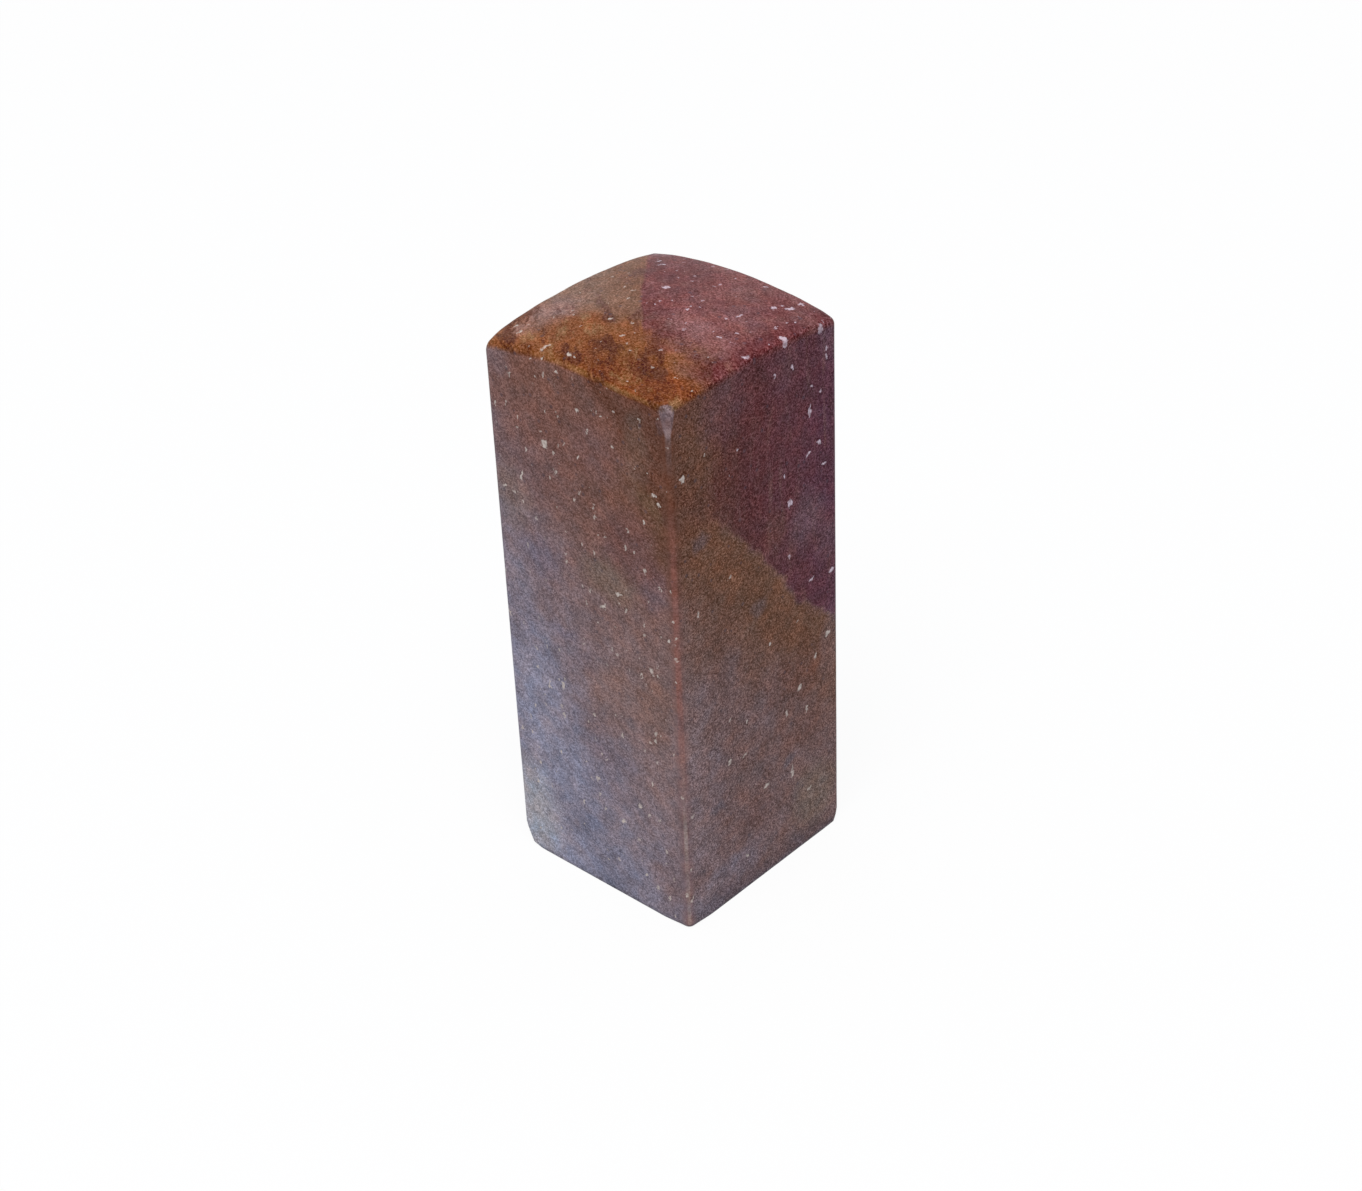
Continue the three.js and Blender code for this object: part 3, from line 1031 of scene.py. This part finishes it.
slim = ragged.times((1.0, 1.0, 0.5))
for spacing, rarity, widest in SCATTERED:
    fine = cells(slim, 1 / spacing, "Distance")
    chance = fine.other("Color").parts()[0]
    size_of = chance.ramp(rarity, 1.0, 0.0, widest / spacing)
    fleck = fleck.at_least((size_of - fine).ramp(0.0, 0.05) * 0.85)
glint = noise(place, 2.5, 2.0, 12.0).ramp(-0.15, 0.1, 0.45, 1.0)
pale = marks.mixed(CREAM, MILK, plum)
colour = marks.mixed(colour, pale, fleck * glint * (1.0 - on_head * 0.25))

# Handling has polished the wax a little unevenly. The crystals are glassy, and the foot
# is bare. Saw and lapping marks stay as very shallow unevenness.
PIT_DEPTH = 0.03 * mm
PIT_STRENGTH = 0.2
STONE_GLANCE = 0.03
WAX_ROUGHNESS = 0.3

shine = mottle.ramp(-0.2, 0.2, 0.4, 0.5)
roughness = shine - fleck * 0.12 + printing * 0.25
wax = (1.0 - printing) * grain.ramp(-0.2, 0.2, 0.08, 0.16)
pits = marks.node(
    "ShaderNodeBump",
    {},
    {"Strength": PIT_STRENGTH, "Distance": PIT_DEPTH, "Height": grain},
)
finish = {
    "Base Color": colour,
    "Roughness": roughness,
    "Coat Weight": wax,
    "Normal": pits,
}
for name, value in finish.items():
    marks.tree.links.new(value.socket, shader.inputs[name])
shader.inputs["Specular IOR Level"].default_value = STONE_GLANCE
shader.inputs["Coat Roughness"].default_value = WAX_ROUGHNESS

# The fret's path is the mesh that the form starts from. What the form makes of it is kept
# as a plain mesh, and the object that carried the path is cleared away.
maker = bpy.data.objects.new("stone_maker", fret_path())
bpy.context.scene.collection.objects.link(maker)
shaping = maker.modifiers.new("Seal stone form", "NODES")
shaping.node_group = form
for item in form.interface.items_tree:
    if item.in_out == "INPUT" and item.name in SIZES:
        shaping[item.identifier] = SIZES[item.name]
    if item.in_out == "INPUT" and item.name == "Stone":
        shaping[item.identifier] = material
bpy.context.view_layer.update()
shaped = maker.evaluated_get(bpy.context.evaluated_depsgraph_get())
carved_stone = bpy.data.objects.new(
    "carved_stone", bpy.data.meshes.new_from_object(shaped)
)
carved_stone.data.name = "carved_stone"
bpy.context.scene.collection.objects.link(carved_stone)
bpy.data.objects.remove(maker)

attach(carved_stone, "root")
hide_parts("seal_stone")


# Floor
# A wide sheet of matt board, laid flat, that the seal stands on. Seen directly or in a
# reflection it is white, with a soft shadow. It throws only a little light on the stone.

FLOOR_HALF = 3.0
BOARD_GREY = (0.38, 0.38, 0.38, 1.0)
BOARD_WHITE = (0.97, 0.97, 0.97, 1.0)
CLEAN_WHITE = (1.0, 1.0, 1.0, 1.0)
CLEAN_SHARE = 0.92

floor_mesh = bpy.data.meshes.new("floor")
floor_corners = [(-1, -1), (1, -1), (1, 1), (-1, 1)]
floor_mesh.from_pydata(
    [(x * FLOOR_HALF, y * FLOOR_HALF, 0.0) for x, y in floor_corners],
    [],
    [(0, 1, 2, 3)],
)
floor = bpy.data.objects.new("floor", floor_mesh)
bpy.context.scene.collection.objects.link(floor)


def seen(tree):
    """1 where the camera, a reflection or a clear surface shows a thing, otherwise 0."""
    camera_ray = Field(tree).node("ShaderNodeLightPath", {}, {}, "Is Camera Ray")
    glossy_ray = camera_ray.other("Is Glossy Ray")
    clear_ray = camera_ray.other("Is Transmission Ray")
    return camera_ray.at_least(glossy_ray).at_least(clear_ray)


board = bpy.data.materials.new("White board")
board.use_nodes = True
board.node_tree.nodes.clear()
shown = seen(board.node_tree)
board_colour = shown.mixed(BOARD_GREY, BOARD_WHITE, shown)
matt = shown.node("ShaderNodeBsdfDiffuse", {}, {"Color": board_colour})
white = shown.node("ShaderNodeEmission", {}, {"Color": CLEAN_WHITE, "Strength": 1.0})
surface = shown.node("ShaderNodeMixShader", {}, {0: shown * CLEAN_SHARE, 1: matt, 2: white})
shown.node("ShaderNodeOutputMaterial", {}, {"Surface": surface})
floor_mesh.materials.append(board)


# Camera
# It looks down on the seal's front edge from 0.3 m away, as a person at a desk does, and
# is held a little off level. The focal length and the plate are in mm, as lenses are sold.

CAMERA_PLACE = (160.96 * mm, -169.89 * mm, 185.17 * mm)
CAMERA_TURN = radians(43.23)
CAMERA_DOWN = radians(33.34)
CAMERA_ROLL = radians(-2.50)
FOCAL_LENGTH = 69.97
PLATE_WIDTH = 36.0
NEAREST_SEEN = 10 * mm

lens = bpy.data.cameras.new("camera")
lens.sensor_fit = "HORIZONTAL"
lens.sensor_width = PLATE_WIDTH
lens.lens = FOCAL_LENGTH
lens.clip_start = NEAREST_SEEN
camera = bpy.data.objects.new("camera", lens)
aim = Euler((radians(90) - CAMERA_DOWN, 0, CAMERA_TURN)).to_matrix()
camera.matrix_world = (
    Matrix.Translation(CAMERA_PLACE)
    @ (aim @ Matrix.Rotation(CAMERA_ROLL, 3, "Z")).to_4x4()
)
bpy.context.scene.collection.objects.link(camera)
bpy.context.scene.camera = camera


# Light
# One large soft lamp nearly overhead, a little to the front, and dim bluish light from
# all round the room. The room's own walls and ceiling look white.

LAMP_TURN = radians(31)
LAMP_LEAN = radians(26)
LAMP_DISTANCE = 2.0
LAMP_WIDTH = 1.33
LAMP_POWER = 26.7
LAMP_COLOUR = (1.0, 0.97, 0.93)
ROOM_COLOUR = (0.43, 0.46, 0.52, 1.0)

world = bpy.data.worlds.new("room")
world.use_nodes = True
world.node_tree.nodes.clear()
shown = seen(world.node_tree)
room_light = shown.mixed(ROOM_COLOUR, CLEAN_WHITE, shown)
glow = shown.node("ShaderNodeBackground", {}, {"Color": room_light, "Strength": 1.0})
shown.node("ShaderNodeOutputWorld", {}, {"Surface": glow})
bpy.context.scene.world = world

lamp_data = bpy.data.lights.new("window", "AREA")
lamp_data.shape = "SQUARE"
lamp_data.size = LAMP_WIDTH
lamp_data.energy = LAMP_POWER
lamp_data.color = LAMP_COLOUR
lamp = bpy.data.objects.new("window", lamp_data)
lamp.matrix_world = (
    Matrix.Rotation(LAMP_TURN, 4, "Z")
    @ Matrix.Rotation(LAMP_LEAN, 4, "X")
    @ Matrix.Translation((0, 0, LAMP_DISTANCE))
)
bpy.context.scene.collection.objects.link(lamp)

bpy.context.scene.view_settings.view_transform = "Standard"
